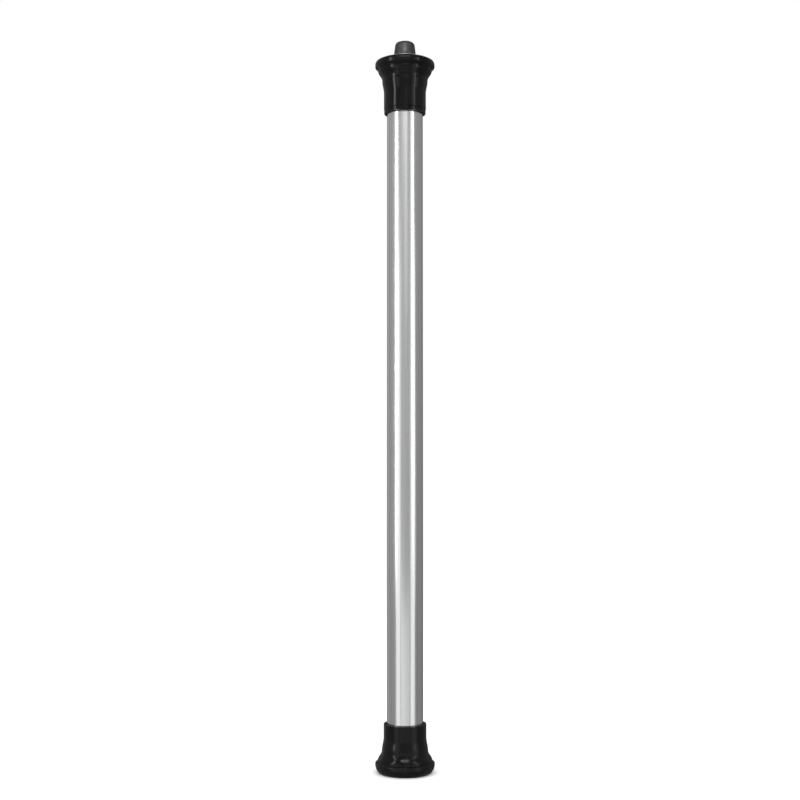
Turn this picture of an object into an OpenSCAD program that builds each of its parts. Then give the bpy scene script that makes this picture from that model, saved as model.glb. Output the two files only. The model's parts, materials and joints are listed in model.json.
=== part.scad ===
// Slim barber pole light: a silvered tube between two bell caps, with a striped drum that turns inside it.
// +Z is up. The origin is on the pole's axis, where the foot rests on the floor.

/* [Pole] */
// Height from the floor to the top of the button
pole_h = 1015; // [600:5:1400]
// Outside diameter of the silvered tube
tube_d = 50; // [50:0.5:54]
// Wall of the silvered tube
tube_wall = 2.5; // [2:0.1:2.5]

/* [Caps] */
// Diameter of the foot ring
foot_d = 82; // [82:0.5:90]
// Height of the foot ring
foot_h = 18; // [18:0.5:18.5]
// Diameter of the lid's rim
lid_d = 83.2; // [82:0.2:90]
// Length of the lower bell cap, from the foot ring to its mouth
lower_cap_h = 49; // [49:1:51]
// Length of the upper bell cap, from its mouth to the lid
upper_cap_h = 61.5; // [61.5:0.5:64]
// Wall of both bell caps
cap_wall = 2.6; // [2.4:0.1:2.8]

/* [Drum] */
// Wall of the striped drum
drum_wall = 1; // [0.8:0.1:1.2]

/* [Lamp] */
// Hexagonal mast, across its flats
mast_af = 16; // [14:0.5:16]
// Distance from one LED to the next
led_pitch = 25; // [15:1:50]

/* [Button] */
// Diameter of the button at its foot
button_d = 30.7; // [28:0.1:30.7]
// Distance the button goes down
button_travel = 3; // [1:0.5:3]

/* [Hidden] */
$fn = 72;
clear = 0.1;
four = [45 : 90 : 315];
three = [90 : 120 : 330];

// Foot
pad_r = 33;
pad_t = 2.5;
plate_t = 2;
plate_top = pad_t + plate_t;
foot_r = foot_d / 2;
skirt_r = 34;
skirt_z = 7;
lug_top = 6.5;
base_screw_r = 27;
lug_r = 5.2;
post_r = 3.4;
post_top = 20;
inlet_z = 9.8;
inlet_r = 4;
inlet_flange_r = 4.5;
inlet_flange_t = 1;
plug_recess_r = 5;
plug_recess_y = 36.6;

// Tube and caps
tube_r = tube_d / 2;
tube_in = tube_r - tube_wall;
lower_mouth = foot_h + lower_cap_h;
tube_z0 = lower_mouth - 23;
lid_top = pole_h - 26;
cap_top = lid_top - 14.5;
upper_mouth = cap_top - upper_cap_h;
tube_z1 = upper_mouth + 21;
sleeve_r = tube_r + 4.4;
waist_r = tube_r + 6.9;
collar_r = tube_r + 12.5;
collar_h = 2;
waist_u = 13.5;
sleeve_u = 33;
sleeve_in = tube_r + 1.3;
skirt_in = 31.4;
web_z = tube_z1 + 4;
web_t = 3;
web_top = web_z + web_t;
cap_screw_r = 15.5;

// Drum and its bearings
drum_r = tube_in - 2.5;
drum_in = drum_r - drum_wall;
bearing_in = 7.5;
bearing_out = 12;
bearing_w = 5;
ball_r = 1.3;
ball_pitch_r = (bearing_in + bearing_out) / 2;
balls = 20;
gear_h = 4.5;
gear_z = tube_z0 - 8;
hub_z = gear_z + gear_h;
lower_bearing_z = hub_z + 2.5;
drum_z0 = tube_z0 + 3;
drum_z1 = tube_z1 - 16;
upper_bearing_z = drum_z1 - 6;
gear_screw_r = 11.2;

// Gear pair and motor
gear_module = 0.6;
gear_teeth = 48;
pinion_teeth = 16;
gear_r = gear_teeth * gear_module / 2;
pinion_r = pinion_teeth * gear_module / 2;
motor_x = gear_r + pinion_r;
motor_z = 8;
motor_can_h = 16;
motor_top = gear_z - 2;
shaft_r = 1.5;

// Mast
neck_r = 8.5;
spigot_r = 5.2;
wire_bore_r = 2.6;
socket_screw_r = 9.5;
mast_z0 = lower_bearing_z + bearing_w + 0.2;
mast_z1 = upper_bearing_z - 4.8;
strip_z0 = mast_z0 + 24;
strip_z1 = mast_z1 - 8;
strip_w = 8;
strip_t = 0.4;
lead_hole_z = strip_z0 - 2;
stud_top = web_z + 11;

// Electronics in the foot
board_x = -21;
board_t = 1.6;
connector_z = plate_top + 6.2;
lead_z = connector_z + 1.75;
lead_r = 0.6;
cable_r = 1.4;

// Switch and button
button_r = button_d / 2;
bezel_r = button_r + 1.25;
bezel_top = lid_top + 6;
crown_r = 6;
switch_board_z = cap_top - 6.5;
switch_board_t = 1.6;
switch_floor = switch_board_z + switch_board_t;
board_post_r = 24;
web_bottom = switch_floor + 13.4;
flange_z = web_bottom - 3;
spring_r = 10.2;
spring_wire_r = 0.5;
spring_turns = 5;

// ---- curves -------------------------------------------------------------------------------------------

// Points along part of an ellipse, from angle a0 to a1
function ellipse_arc(cx, cy, rx, ry, a0, a1, steps = 8) =
    [for (i = [0 : steps]) let (a = a0 + (a1 - a0) * i / steps) [cx + rx * cos(a), cy + ry * sin(a)]];

// A smooth step from r0 to r1 while u goes from u0 to u1
function eased(u, r0, r1, u0, u1) = r1 + (r0 - r1) * (1 + cos(180 * (u - u0) / (u1 - u0))) / 2;

// A flare from r0 to r1 while t goes from 0 to 1, which starts with a slope and ends level
function flared(t, r0, r1) = r1 + (r0 - r1) * (1 - t * (0.5 + t * (2 - 1.5 * t)));

// Outside radius of a bell cap at distance u from its wide end
function bell_r(u) =
    u < collar_h ? collar_r
    : u < waist_u ? flared((u - collar_h) / (waist_u - collar_h), collar_r, waist_r)
    : u < sleeve_u ? eased(u, waist_r, sleeve_r, waist_u, sleeve_u)
    : sleeve_r;

// Radius of a bell cap's inner wall at distance u from its wide end
function bell_in(u) = min(bell_r(u) - cap_wall, skirt_in);

// Distances from the wide end at which the outline has a point
bell_u = [0, collar_h, for (u = [3 : 1 : 14]) u, for (u = [15 : 2 : sleeve_u]) u];

// Points along a cubic curve with its ends at a and d
function bezier(a, b, c, d, steps = 8) =
    [for (i = [0 : steps]) let (t = i / steps, s = 1 - t)
        s * s * s * a + 3 * s * s * t * b + 3 * s * t * t * c + t * t * t * d];

// ---- shared shapes ------------------------------------------------------------------------------------

module ring(r_out, r_in, z0, z1) {
    translate([0, 0, z0])
        difference() {
            cylinder(r = r_out, h = z1 - z0);
            translate([0, 0, -1]) cylinder(r = r_in, h = z1 - z0 + 2);
        }
}

module rod(r, z0, z1) {
    translate([0, 0, z0]) cylinder(r = r, h = z1 - z0);
}

// Children repeated at each angle, at radius r
module around(angles, r) {
    for (a = angles) rotate(a) translate([r, 0, 0]) children();
}

// Countersunk screw with its flat head at z, driven up to z + length
module flat_screw(r, length, z) {
    translate([0, 0, z]) cylinder(r1 = 2 * r, r2 = r, h = r);
    rod(r, z + r, z + length);
}

// Hole that the head of flat_screw fills
module flat_screw_hole(r, length, z) {
    flat_screw(r, length, z);
    rod(2 * r, z - 1, z);
}

// Pan-head screw hanging down from z, with its head above z
module pan_screw(r, length, z) {
    rod(r, z - length, z);
    difference() {
        rod(2 * r, z, z + 1.2 * r);
        translate([0, 0, z + 0.7 * r]) cylinder(r = r, h = r, $fn = 6);
    }
}

// One gear tooth's involute flank: angle past the start of the flank, at radius r
function involute_angle(r, base) = let (c = sqrt(max(0, r * r / (base * base) - 1))) c * 180 / PI - atan(c);

// Outline of a spur gear with one tooth centred on the X axis; thin comes off each flank for running play
function gear_points(teeth, thin = 0.04, steps = 4) =
    let (
        pitch = teeth * gear_module / 2,
        base = pitch * cos(20),
        tip = pitch + gear_module,
        root = pitch - 1.25 * gear_module,
        half = 90 / teeth - thin / pitch * 180 / PI + involute_angle(pitch, base),
        low = max(base, root)
    )
    [for (k = [0 : teeth - 1]) each concat(
        [[root, 360 * k / teeth - half]],
        [for (i = [0 : steps]) let (r = low + (tip - low) * i / steps)
            [r, 360 * k / teeth - half + involute_angle(r, base)]],
        [for (i = [steps : -1 : 0]) let (r = low + (tip - low) * i / steps)
            [r, 360 * k / teeth + half - involute_angle(r, base)]],
        [[root, 360 * k / teeth + half]]
    )];

module gear(teeth, h) {
    linear_extrude(h)
        polygon([for (p = gear_points(teeth)) [p[0] * cos(p[1]), p[0] * sin(p[1])]]);
}

module bearing_ring(r_in, r_out, z) {
    difference() {
        ring(r_out, r_in, z, z + bearing_w);
        translate([0, 0, z + bearing_w / 2])
            rotate_extrude()
                translate([ball_pitch_r, 0]) circle(r = ball_r + 0.05, $fn = 32);
    }
}

// Insulated wire along a path: rounded links from point to point
module wire(path, r) {
    for (i = [0 : len(path) - 2])
        hull() {
            translate(path[i]) sphere(r = r, $fn = 8);
            translate(path[i + 1]) sphere(r = r, $fn = 8);
        }
}

// Coil spring from z0 to z1 as one swept round wire
module coil(r, wire_r, z0, z1, turns) {
    sides = 8;
    rings = turns * 16;
    points = [for (i = [0 : rings]) for (j = [0 : sides - 1])
        let (a = 360 * turns * i / rings, b = 360 * j / sides, q = r + wire_r * cos(b))
        [q * cos(a), q * sin(a), z0 + wire_r + (z1 - z0 - 2 * wire_r) * i / rings + wire_r * sin(b)]];
    skin = [for (i = [0 : rings - 1]) for (j = [0 : sides - 1])
        let (k = (j + 1) % sides)
        [i * sides + j, i * sides + k, (i + 1) * sides + k, (i + 1) * sides + j]];
    start = [for (j = [sides - 1 : -1 : 0]) j];
    end = [for (j = [0 : sides - 1]) rings * sides + j];
    polyhedron(points = points, faces = concat(skin, [start], [end]), convexity = 8);
}

// ---- foot ---------------------------------------------------------------------------------------------

module foot_pad() {
    color("dimgray") rod(pad_r, 0, pad_t);
}

module base_plate() {
    color("silver")
        difference() {
            rod(pad_r, pad_t, plate_top);
            around(four, base_screw_r) flat_screw_hole(1.5, 12, pad_t);
            around(three, socket_screw_r) flat_screw_hole(1, 8, pad_t);
            bracket_screw_places() flat_screw_hole(1, 4, pad_t);
        }
}

module base_screws() {
    color("silver") around(four, base_screw_r) flat_screw(1.5, 12, pad_t);
}

module foot_ring() {
    color("black")
        difference() {
            union() {
                rotate_extrude()
                    polygon(concat(
                        [[pad_r + clear, 0.6]],
                        ellipse_arc(pad_r, 12.2, foot_r - pad_r, 12.2, -72, 0, 12),
                        ellipse_arc(collar_r, foot_h - 5.3, foot_r - collar_r, 2.6, 0, 90),
                        [[collar_r, foot_h - 0.4], [collar_r - 0.4, foot_h],
                         [skirt_r, foot_h], [skirt_r, skirt_z], [skirt_in, skirt_z],
                         [skirt_in, plate_top], [pad_r + clear, plate_top]]
                    ));
                around(four, base_screw_r) rod(lug_r, plate_top, lug_top);
            }
            around(four, base_screw_r) rod(1.6, 0, skirt_z + 1);
            // Spot face for the inlet's nut, its hole, and the recess for the plug
            translate([-7, 28, 4]) cube([14, 34.3 - 28, foot_h]);
            translate([0, 30, inlet_z]) rotate([-90, 0, 0]) cylinder(r = inlet_r, h = 20);
            translate([0, 0, inlet_z])
                rotate([-90, 0, 0]) {
                    rod(inlet_flange_r + clear, plug_recess_y - inlet_flange_t, plug_recess_y + 1);
                    rod(plug_recess_r, plug_recess_y, foot_r + 5);
                }
        }
}

module lower_cap() {
    // The foot ring's neck takes the place of the straight collar that the upper cap has
    bell_z0 = foot_h - collar_h;
    color("black")
        difference() {
            union() {
                rotate_extrude()
                    polygon(concat(
                        [[skirt_in, skirt_z], [skirt_r, skirt_z], [skirt_r, foot_h],
                         [collar_r - 0.4, foot_h], [collar_r, foot_h + 0.4]],
                        [for (u = bell_u) if (u > collar_h) [bell_r(u), bell_z0 + u]],
                        [[sleeve_r, lower_mouth - 0.8], [sleeve_r - 0.8, lower_mouth],
                         [sleeve_in, lower_mouth], [sleeve_in, tube_z0], [tube_in, tube_z0],
                         [tube_in, tube_z0 - 2.5], [bell_in(25), tube_z0 - 2.5]],
                        [for (i = [len(bell_u) - 1 : -1 : 2]) if (bell_u[i] < 25)
                            [bell_in(bell_u[i]), bell_z0 + bell_u[i]]]
                    ));
                around(four, base_screw_r) {
                    rod(post_r, lug_top, post_top);
                    translate([0, -1.2, skirt_z + 1]) cube([skirt_in + 1 - base_screw_r, 2.4, 11]);
                }
            }
            around(four, base_screw_r) rod(1.5, 0, 15);
            translate([-7.2, 25, skirt_z - 1]) cube([14.4, 12, foot_h - skirt_z + 1]);
        }
}

module power_inlet() {
    color("dimgray")
        translate([0, 0, inlet_z])
            rotate([-90, 0, 0])
                union() {
                    difference() {
                        union() {
                            rod(inlet_r, 20, plug_recess_y - inlet_flange_t);
                            rod(inlet_flange_r, plug_recess_y - inlet_flange_t, plug_recess_y);
                        }
                        rod(3.1, 27, plug_recess_y + 1);
                    }
                    rod(1, 26, plug_recess_y - 1.5);
                }
}

module inlet_nut() {
    color("silver")
        translate([0, 0, inlet_z])
            rotate([-90, 0, 0])
                difference() {
                    translate([0, 0, 31.8]) cylinder(r = 5.5, h = 2.5, $fn = 6);
                    rod(inlet_r, 31, 35);
                }
}

// ---- electronics in the foot --------------------------------------------------------------------------

module driver_board() {
    color("green")
        translate([board_x - board_t / 2, -12, plate_top + 3]) cube([board_t, 24, 25]);
}

module board_parts() {
    face = board_x + board_t / 2;
    color("dimgray") {
        // Two capacitors, a choke, the control chip and two diodes
        translate([face, -8, 26]) rotate([0, 90, 0]) cylinder(r = 3.2, h = 8, $fn = 32);
        translate([face, 8, 27]) rotate([0, 90, 0]) cylinder(r = 2.5, h = 7, $fn = 32);
        translate([face, -3, 22.5]) cube([3, 7, 7]);
        translate([face, -2.5, 15]) cube([1.4, 5, 6]);
        translate([face, 5, 20]) cube([1.2, 4, 2]);
        translate([face, 5, 16]) cube([1.2, 4, 2]);
    }
}

module board_connectors() {
    color("white")
        for (y = [-11, 5])
            translate([board_x + board_t / 2, y, connector_z])
                difference() {
                    cube([5, 6, 3.5]);
                    translate([1, 0.7, 0.7]) cube([5, 4.6, 2.1]);
                }
}

module board_bracket() {
    color("dimgray")
        difference() {
            translate([-26, -9, plate_top]) cube([8.5, 18, 6]);
            translate([board_x - board_t / 2, -10, plate_top + 3]) cube([board_t, 20, 10]);
            translate([-19.5, -10, plate_top + 4]) cube([5, 20, 10]);
            bracket_screw_places() rod(1, 0, plate_top + 3.5);
        }
}

// Two screws hold the board's bracket, and two hold the motor's
module bracket_screw_places() {
    for (y = [-6, 6]) translate([-24, y, 0]) children();
    for (y = [-10.5, 10.5]) translate([motor_x, y, 0]) children();
}

module bracket_screws() {
    color("silver") bracket_screw_places() flat_screw(1, 4, pad_t);
}

// ---- motor --------------------------------------------------------------------------------------------

module motor_can() {
    color("silver")
        translate([motor_x, 0, motor_z])
            intersection() {
                cylinder(r = 6, h = motor_can_h);
                translate([-5, -6, 0]) cube([10, 12, motor_can_h]);
            }
}

module motor_gearbox() {
    z0 = motor_z + motor_can_h;
    color("goldenrod")
        translate([motor_x, 0, 0])
            difference() {
                union() {
                    translate([-5, -6, z0]) cube([10, 12, 0.8]);
                    translate([-4.4, -5.4, z0 + 0.8]) cube([8.8, 10.8, motor_top - z0 - 2.4]);
                    translate([-5, -6, motor_top - 1.6]) cube([10, 12, 0.8]);
                    rod(2, motor_top - 0.8, motor_top);
                }
                rod(shaft_r + 0.05, z0 + 2, motor_top + 1);
            }
}

module motor_bracket() {
    color("dimgray")
        difference() {
            union() {
                translate([motor_x - 6.2, -13, plate_top]) cube([12.4, 26, 2]);
                translate([motor_x - 6.2, -7.2, plate_top]) cube([12.4, 14.4, 15]);
            }
            translate([motor_x - 5.05, -6.05, motor_z]) cube([10.1, 12.1, 20]);
            bracket_screw_places() rod(1, 0, plate_top + 5);
            // Slot for the motor's leads
            translate([motor_x - 2, -8, motor_z - 1.5]) cube([4, 8, 3]);
        }
}

module motor_shaft() {
    color("silver") translate([motor_x, 0, 0]) rod(shaft_r, motor_z + motor_can_h + 2.1, hub_z + 0.3);
}

module pinion() {
    color("goldenrod")
        translate([motor_x, 0, gear_z + 0.2])
            difference() {
                rotate(180 + 180 / pinion_teeth) gear(pinion_teeth, gear_h - 0.4);
                rod(shaft_r, -1, gear_h + 1);
            }
}

// ---- drum ---------------------------------------------------------------------------------------------

module drum_gear() {
    color("white")
        difference() {
            translate([0, 0, gear_z]) gear(gear_teeth, gear_h);
            rod(neck_r + 0.7, gear_z - 1, hub_z + 1);
            around(three, gear_screw_r) {
                rod(1, gear_z - 1, hub_z + 1);
                rod(2, gear_z - 1, gear_z + 1.4);
            }
        }
}

module gear_screws() {
    color("silver")
        around(three, gear_screw_r) {
            rod(1, gear_z + 1.4, hub_z + 2);
            rod(1.9, gear_z + 0.2, gear_z + 1.4);
        }
}

module lower_hub() {
    color("white")
        difference() {
            rotate_extrude()
                polygon([
                    [neck_r + 0.9, hub_z], [16, hub_z], [17, hub_z + 1], [17, drum_z0 - 2],
                    [drum_r, drum_z0 - 2], [drum_r, drum_z0], [drum_in, drum_z0],
                    [drum_in, drum_z0 + 12], [drum_in - 1, drum_z0 + 13],
                    [bearing_out, drum_z0 + 13], [bearing_out, lower_bearing_z],
                    [neck_r + 0.9, lower_bearing_z]
                ]);
            around(three, gear_screw_r) rod(1, hub_z - 1, hub_z + 2);
        }
}

module upper_hub() {
    color("white")
        rotate_extrude()
            polygon([
                [10.8, drum_z1 - 15], [drum_in - 1, drum_z1 - 15], [drum_in, drum_z1 - 14],
                [drum_in, drum_z1], [drum_r, drum_z1], [drum_r, drum_z1 + 2],
                [bearing_out, drum_z1 + 2], [bearing_out, upper_bearing_z - 0.5],
                [10.8, upper_bearing_z - 0.5]
            ]);
}

module drum_tube() {
    color("white") ring(drum_r, drum_in, drum_z0, drum_z1);
}

module stripe_film() {
    color("crimson") ring(drum_r + 0.2, drum_r, drum_z0 + 2, drum_z1 - 2);
}

module lower_bearing_inner() {
    color("silver") bearing_ring(bearing_in, ball_pitch_r - 0.75, lower_bearing_z);
}

module lower_bearing_outer() {
    color("silver") bearing_ring(ball_pitch_r + 0.75, bearing_out, lower_bearing_z);
}

module upper_bearing_inner() {
    color("silver") bearing_ring(bearing_in, ball_pitch_r - 0.75, upper_bearing_z);
}

module upper_bearing_outer() {
    color("silver") bearing_ring(ball_pitch_r + 0.75, bearing_out, upper_bearing_z);
}

module bearing_balls() {
    color("silver")
        for (z = [lower_bearing_z, upper_bearing_z])
            around([0 : 360 / balls : 359], ball_pitch_r)
                translate([0, 0, z + bearing_w / 2]) sphere(r = ball_r, $fn = 24);
}

// ---- mast and lamp ------------------------------------------------------------------------------------

module mast_socket() {
    color("lightgray")
        difference() {
            union() {
                rod(12.5, plate_top, plate_top + 5);
                rod(neck_r, plate_top + 5, lower_bearing_z);
                rod(bearing_in, lower_bearing_z, mast_z0);
                rod(spigot_r, mast_z0, mast_z0 + 18);
            }
            rod(wire_bore_r, plate_top + 4, mast_z0 + 19);
            translate([0, 0, plate_top + 8]) rotate([0, -90, 0]) cylinder(r = 2.2, h = 20);
            around(three, socket_screw_r) rod(1, 0, pad_t + 8);
        }
}

module socket_screws() {
    color("silver") around(three, socket_screw_r) flat_screw(1, 6, pad_t);
}

module mast() {
    color("lightgray")
        difference() {
            translate([0, 0, mast_z0]) cylinder(r = mast_af / sqrt(3), h = mast_z1 - mast_z0, $fn = 6);
            rod(spigot_r, mast_z0 - 1, mast_z1 + 1);
            for (a = three)
                rotate(a) translate([0, 0, lead_hole_z]) rotate([0, 90, 0]) cylinder(r = 1.2, h = 20);
        }
}

module mast_stud() {
    color("silver")
        difference() {
            union() {
                rod(spigot_r, mast_z1 - 18, mast_z1);
                rod(bearing_in, mast_z1, tube_z1 - 12);
                rod(4, tube_z1 - 12, stud_top);
            }
            rod(2.2, mast_z1 - 19, stud_top + 1);
        }
}

module led_strips() {
    color("white")
        for (a = three)
            rotate(a)
                translate([mast_af / 2, -strip_w / 2, strip_z0])
                    cube([strip_t, strip_w, strip_z1 - strip_z0]);
}

module led_chips() {
    color("lightyellow")
        for (a = three)
            for (z = [strip_z0 + 12 : led_pitch : strip_z1 - 6])
                rotate(a) translate([mast_af / 2 + strip_t, -1.4, z]) cube([0.8, 2.8, 3.5]);
}

module mast_cable() {
    z = plate_top + 8;
    color("gray")
        wire(concat(
            [[-18.5, 0, z], [-4, 0, z]],
            bezier([-4, 0, z], [-1, 0, z], [0, 0, z + 1], [0, 0, z + 4], 5),
            [[0, 0, stud_top + 2]],
            bezier(
                [0, 0, stud_top + 2], [0, 0, stud_top + 10],
                [-12, 0, stud_top + 4], [-12, 0, switch_board_z - cable_r], 8
            )
        ), cable_r);
}

module led_leads() {
    color("firebrick")
        for (a = three)
            rotate(a)
                wire([
                    [1.8, 0, lead_hole_z], [mast_af / 2 + 1.2, 0, lead_hole_z],
                    [mast_af / 2 + 1.2, 0, strip_z0 + 2]
                ], lead_r);
}

module power_leads() {
    for (side = [0, 1])
        color(side == 0 ? "firebrick" : "black")
            wire(bezier(
                [2 - 4 * side, 19.4, inlet_z], [2 - 4 * side, 15, inlet_z],
                [-11 - side, 12 + 4 * side, lead_z], [-15.2, 7 + 2 * side, lead_z]
            ), lead_r);
}

module motor_leads() {
    z = motor_z - 0.8;
    for (side = [0, 1])
        color(side == 0 ? "firebrick" : "black")
            wire(concat(
                [[motor_x - 1 + 2 * side, -3, z]],
                bezier(
                    [motor_x - 1 + 2 * side, -8, z], [motor_x - 1 + 2 * side, -15 - 2 * side, z],
                    [-8 - side, -20 - 2 * side, lead_z], [-15.2, -7 - 2 * side, lead_z], 10
                )
            ), lead_r);
}

// ---- tube and upper cap -------------------------------------------------------------------------------

module outer_tube() {
    color("lightsteelblue") ring(tube_r, tube_in, tube_z0, tube_z1);
}

module lower_gasket() {
    color("dimgray") ring(sleeve_in, tube_r, lower_mouth - 10, lower_mouth - 2);
}

module upper_gasket() {
    color("dimgray") ring(sleeve_in, tube_r, upper_mouth + 2, upper_mouth + 10);
}

module bulkhead() {
    color("white")
        difference() {
            union() {
                rotate_extrude()
                    polygon([
                        [4, tube_z1 - 6], [8, tube_z1 - 6], [8, tube_z1], [tube_in - 3.1, tube_z1],
                        [tube_in - 3.1, tube_z1 - 10], [tube_in, tube_z1 - 10], [tube_in, tube_z1],
                        [sleeve_in - 0.1, tube_z1], [sleeve_in - 0.1, web_z], [4, web_z]
                    ]);
                around(three, cap_screw_r) rod(3.2, tube_z1 - 6, tube_z1 + 1);
            }
            around(three, cap_screw_r) rod(1.5, tube_z1 - 5, web_z + 1);
        }
}

module mast_washer() {
    color("silver") ring(8.5, 4, web_z, web_z + 1.2);
}

module mast_nut() {
    color("silver")
        translate([0, 0, web_z + 1.2])
            difference() {
                cylinder(r = 7.5, h = 6.5, $fn = 6);
                rod(4, -1, 8);
            }
}

module upper_cap() {
    lip = 5.5;
    color("black")
        difference() {
            rotate_extrude()
                polygon(concat(
                    [[sleeve_in, upper_mouth], [sleeve_r - 0.8, upper_mouth],
                     [sleeve_r - 0.4, upper_mouth + 0.4], [sleeve_r - 0.4, upper_mouth + lip - 0.6],
                     [sleeve_r - 0.9, upper_mouth + lip], [sleeve_r, upper_mouth + lip + 0.6]],
                    [for (i = [len(bell_u) - 1 : -1 : 0]) [bell_r(bell_u[i]), cap_top - bell_u[i]]],
                    [[skirt_r + 0.3, cap_top], [skirt_r + 0.3, cap_top - 5.5]],
                    [for (u = [6 : 2 : cap_top - web_top - 1]) [bell_in(u), cap_top - u]],
                    [[sleeve_r - cap_wall, web_top], [10, web_top], [10, web_z], [sleeve_in, web_z]]
                ));
            around(three, cap_screw_r) rod(1.6, web_z - 1, web_top + 1);
        }
}

module cap_screws() {
    color("silver") around(three, cap_screw_r) pan_screw(1.5, web_t + 8, web_top);
}

// ---- lid, button and switch ---------------------------------------------------------------------------

module top_lid() {
    rim_r = lid_d / 2;
    color("black")
        difference() {
            union() {
                rotate_extrude()
                    polygon(concat(
                        [[skirt_r - 2, cap_top - 5], [skirt_r + 0.2, cap_top - 5], [skirt_r + 0.2, cap_top],
                         [collar_r + 0.4, cap_top], [collar_r + 0.4, cap_top + 0.5],
                         [rim_r - 0.9, cap_top + 3.3], [rim_r, cap_top + 4.1]],
                        ellipse_arc(rim_r - 6.5, lid_top - 6.4, 6.5, 5.8, 0, 90),
                        [[bezel_r + 8, lid_top - 0.2], [bezel_r + 0.1, lid_top],
                         [bezel_r + 0.1, lid_top - 2.6], [skirt_r - 1, lid_top - 2.6],
                         [rim_r - 3, lid_top - 6.4], [rim_r - 3, cap_top + 5],
                         [skirt_r - 2, cap_top + 1]]
                    ));
                around(three, board_post_r) rod(3, switch_floor, lid_top - 1.6);
            }
            around(three, board_post_r) rod(1, switch_floor - 1, switch_floor + 5);
        }
}

module button_bezel() {
    color("gray")
        rotate_extrude()
            polygon(concat(
                [[button_r + 0.4, flange_z + 2.6], [button_r + 2, flange_z + 2.6],
                 [button_r + 2, lid_top - 4.4], [bezel_r + 3, lid_top - 4.4], [bezel_r + 3, lid_top - 2.7],
                 [bezel_r, lid_top - 2.7]],
                ellipse_arc(bezel_r - 0.4, bezel_top - 0.4, 0.4, 0.4, 0, 90, 4),
                [[button_r + 0.4, bezel_top]]
            ));
}

module button_cap() {
    shoulder_z = lid_top + 9;
    crown_z = pole_h - crown_r;
    color("dimgray")
        rotate_extrude()
            polygon(concat(
                [[button_r - 2, flange_z + 2.5], [button_r, flange_z + 2.5], [button_r, shoulder_z]],
                ellipse_arc(button_r - 1.5 - crown_r, crown_z, crown_r, crown_r, 0, 90, 10),
                [[0, pole_h], [0, pole_h - 3.5], [8, pole_h - 4.5], [button_r - 4, crown_z - 2],
                 [button_r - 2, shoulder_z - 1]]
            ));
}

module button_core() {
    color("dimgray")
        rotate_extrude()
            polygon([
                [11.3, flange_z], [button_r + 2.8, flange_z], [button_r + 2.8, flange_z + 2.5],
                [button_r - 2, flange_z + 2.5], [button_r - 2, lid_top + 8],
                [button_r - 3.2, lid_top + 12], [11.3, lid_top + 12], [11.3, web_bottom + 2.5],
                [0, web_bottom + 2.5], [0, web_bottom], [11.3, web_bottom]
            ]);
}

module button_spring() {
    color("silver") coil(spring_r, spring_wire_r, switch_floor, web_bottom, spring_turns);
}

module switch_body() {
    color("dimgray")
        difference() {
            translate([-6, -6, switch_floor]) cube([12, 12, 8]);
            rod(3.1, switch_floor + 2, switch_floor + 9);
        }
}

module switch_plunger() {
    color("white") rod(3, switch_floor + 2.2 + button_travel, web_bottom);
}

module switch_board() {
    color("green")
        difference() {
            rod(29, switch_board_z, switch_floor);
            around(three, board_post_r) rod(1, switch_board_z - 1, switch_floor + 1);
        }
}

module switch_board_screws() {
    color("silver")
        around(three, board_post_r) {
            rod(1, switch_board_z, switch_floor + 5);
            rod(1.9, switch_board_z - 1.2, switch_board_z);
        }
}

// ---- what is drawn ------------------------------------------------------------------------------------

foot_pad();
base_plate();
base_screws();
foot_ring();
lower_cap();
power_inlet();
inlet_nut();
driver_board();
board_parts();
board_connectors();
board_bracket();
bracket_screws();
motor_can();
motor_gearbox();
motor_bracket();
motor_shaft();
pinion();
drum_gear();
gear_screws();
lower_hub();
upper_hub();
drum_tube();
stripe_film();
lower_bearing_inner();
lower_bearing_outer();
upper_bearing_inner();
upper_bearing_outer();
bearing_balls();
mast_socket();
socket_screws();
mast();
mast_stud();
led_strips();
led_chips();
mast_cable();
led_leads();
power_leads();
motor_leads();
outer_tube();
lower_gasket();
upper_gasket();
bulkhead();
mast_washer();
mast_nut();
upper_cap();
cap_screws();
top_lid();
button_bezel();
button_cap();
button_core();
button_spring();
switch_body();
switch_plunger();
switch_board();
switch_board_screws();
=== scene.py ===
"""Looks of the slim barber pole light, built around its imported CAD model.

Outlines are written in millimetres, as on a drawing, and MM turns them into metres. The pole stands on the
floor at the origin with +Z up. Its front faces -Y, towards the camera.
"""

import json
import math

import bmesh
import bpy
from mathutils import Matrix, Vector


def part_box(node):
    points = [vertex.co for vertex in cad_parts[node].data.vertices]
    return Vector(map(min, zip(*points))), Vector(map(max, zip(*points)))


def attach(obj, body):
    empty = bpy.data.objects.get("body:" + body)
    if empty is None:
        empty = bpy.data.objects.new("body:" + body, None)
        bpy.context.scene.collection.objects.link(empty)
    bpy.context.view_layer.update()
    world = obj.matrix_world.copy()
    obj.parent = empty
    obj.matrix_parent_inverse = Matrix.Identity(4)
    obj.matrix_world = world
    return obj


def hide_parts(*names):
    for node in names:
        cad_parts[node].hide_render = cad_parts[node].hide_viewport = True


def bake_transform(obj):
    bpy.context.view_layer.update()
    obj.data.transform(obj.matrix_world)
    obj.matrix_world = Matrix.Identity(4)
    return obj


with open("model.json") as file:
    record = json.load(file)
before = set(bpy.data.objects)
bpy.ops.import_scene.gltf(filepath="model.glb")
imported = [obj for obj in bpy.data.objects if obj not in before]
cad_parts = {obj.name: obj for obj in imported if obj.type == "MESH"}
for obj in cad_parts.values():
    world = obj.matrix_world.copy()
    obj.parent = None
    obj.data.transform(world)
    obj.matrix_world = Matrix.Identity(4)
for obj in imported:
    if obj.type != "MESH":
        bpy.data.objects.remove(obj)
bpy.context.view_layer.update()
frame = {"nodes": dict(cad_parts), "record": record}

MM = 0.001
SEGMENTS = 256  # in a full turn of a visible round piece


def span(node):
    """A CAD node's lowest and highest corners in millimetres."""
    low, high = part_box(node)
    return low / MM, high / MM


# ---- the drawing's main lengths, read from the CAD boxes ------------------------------------------------

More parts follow.
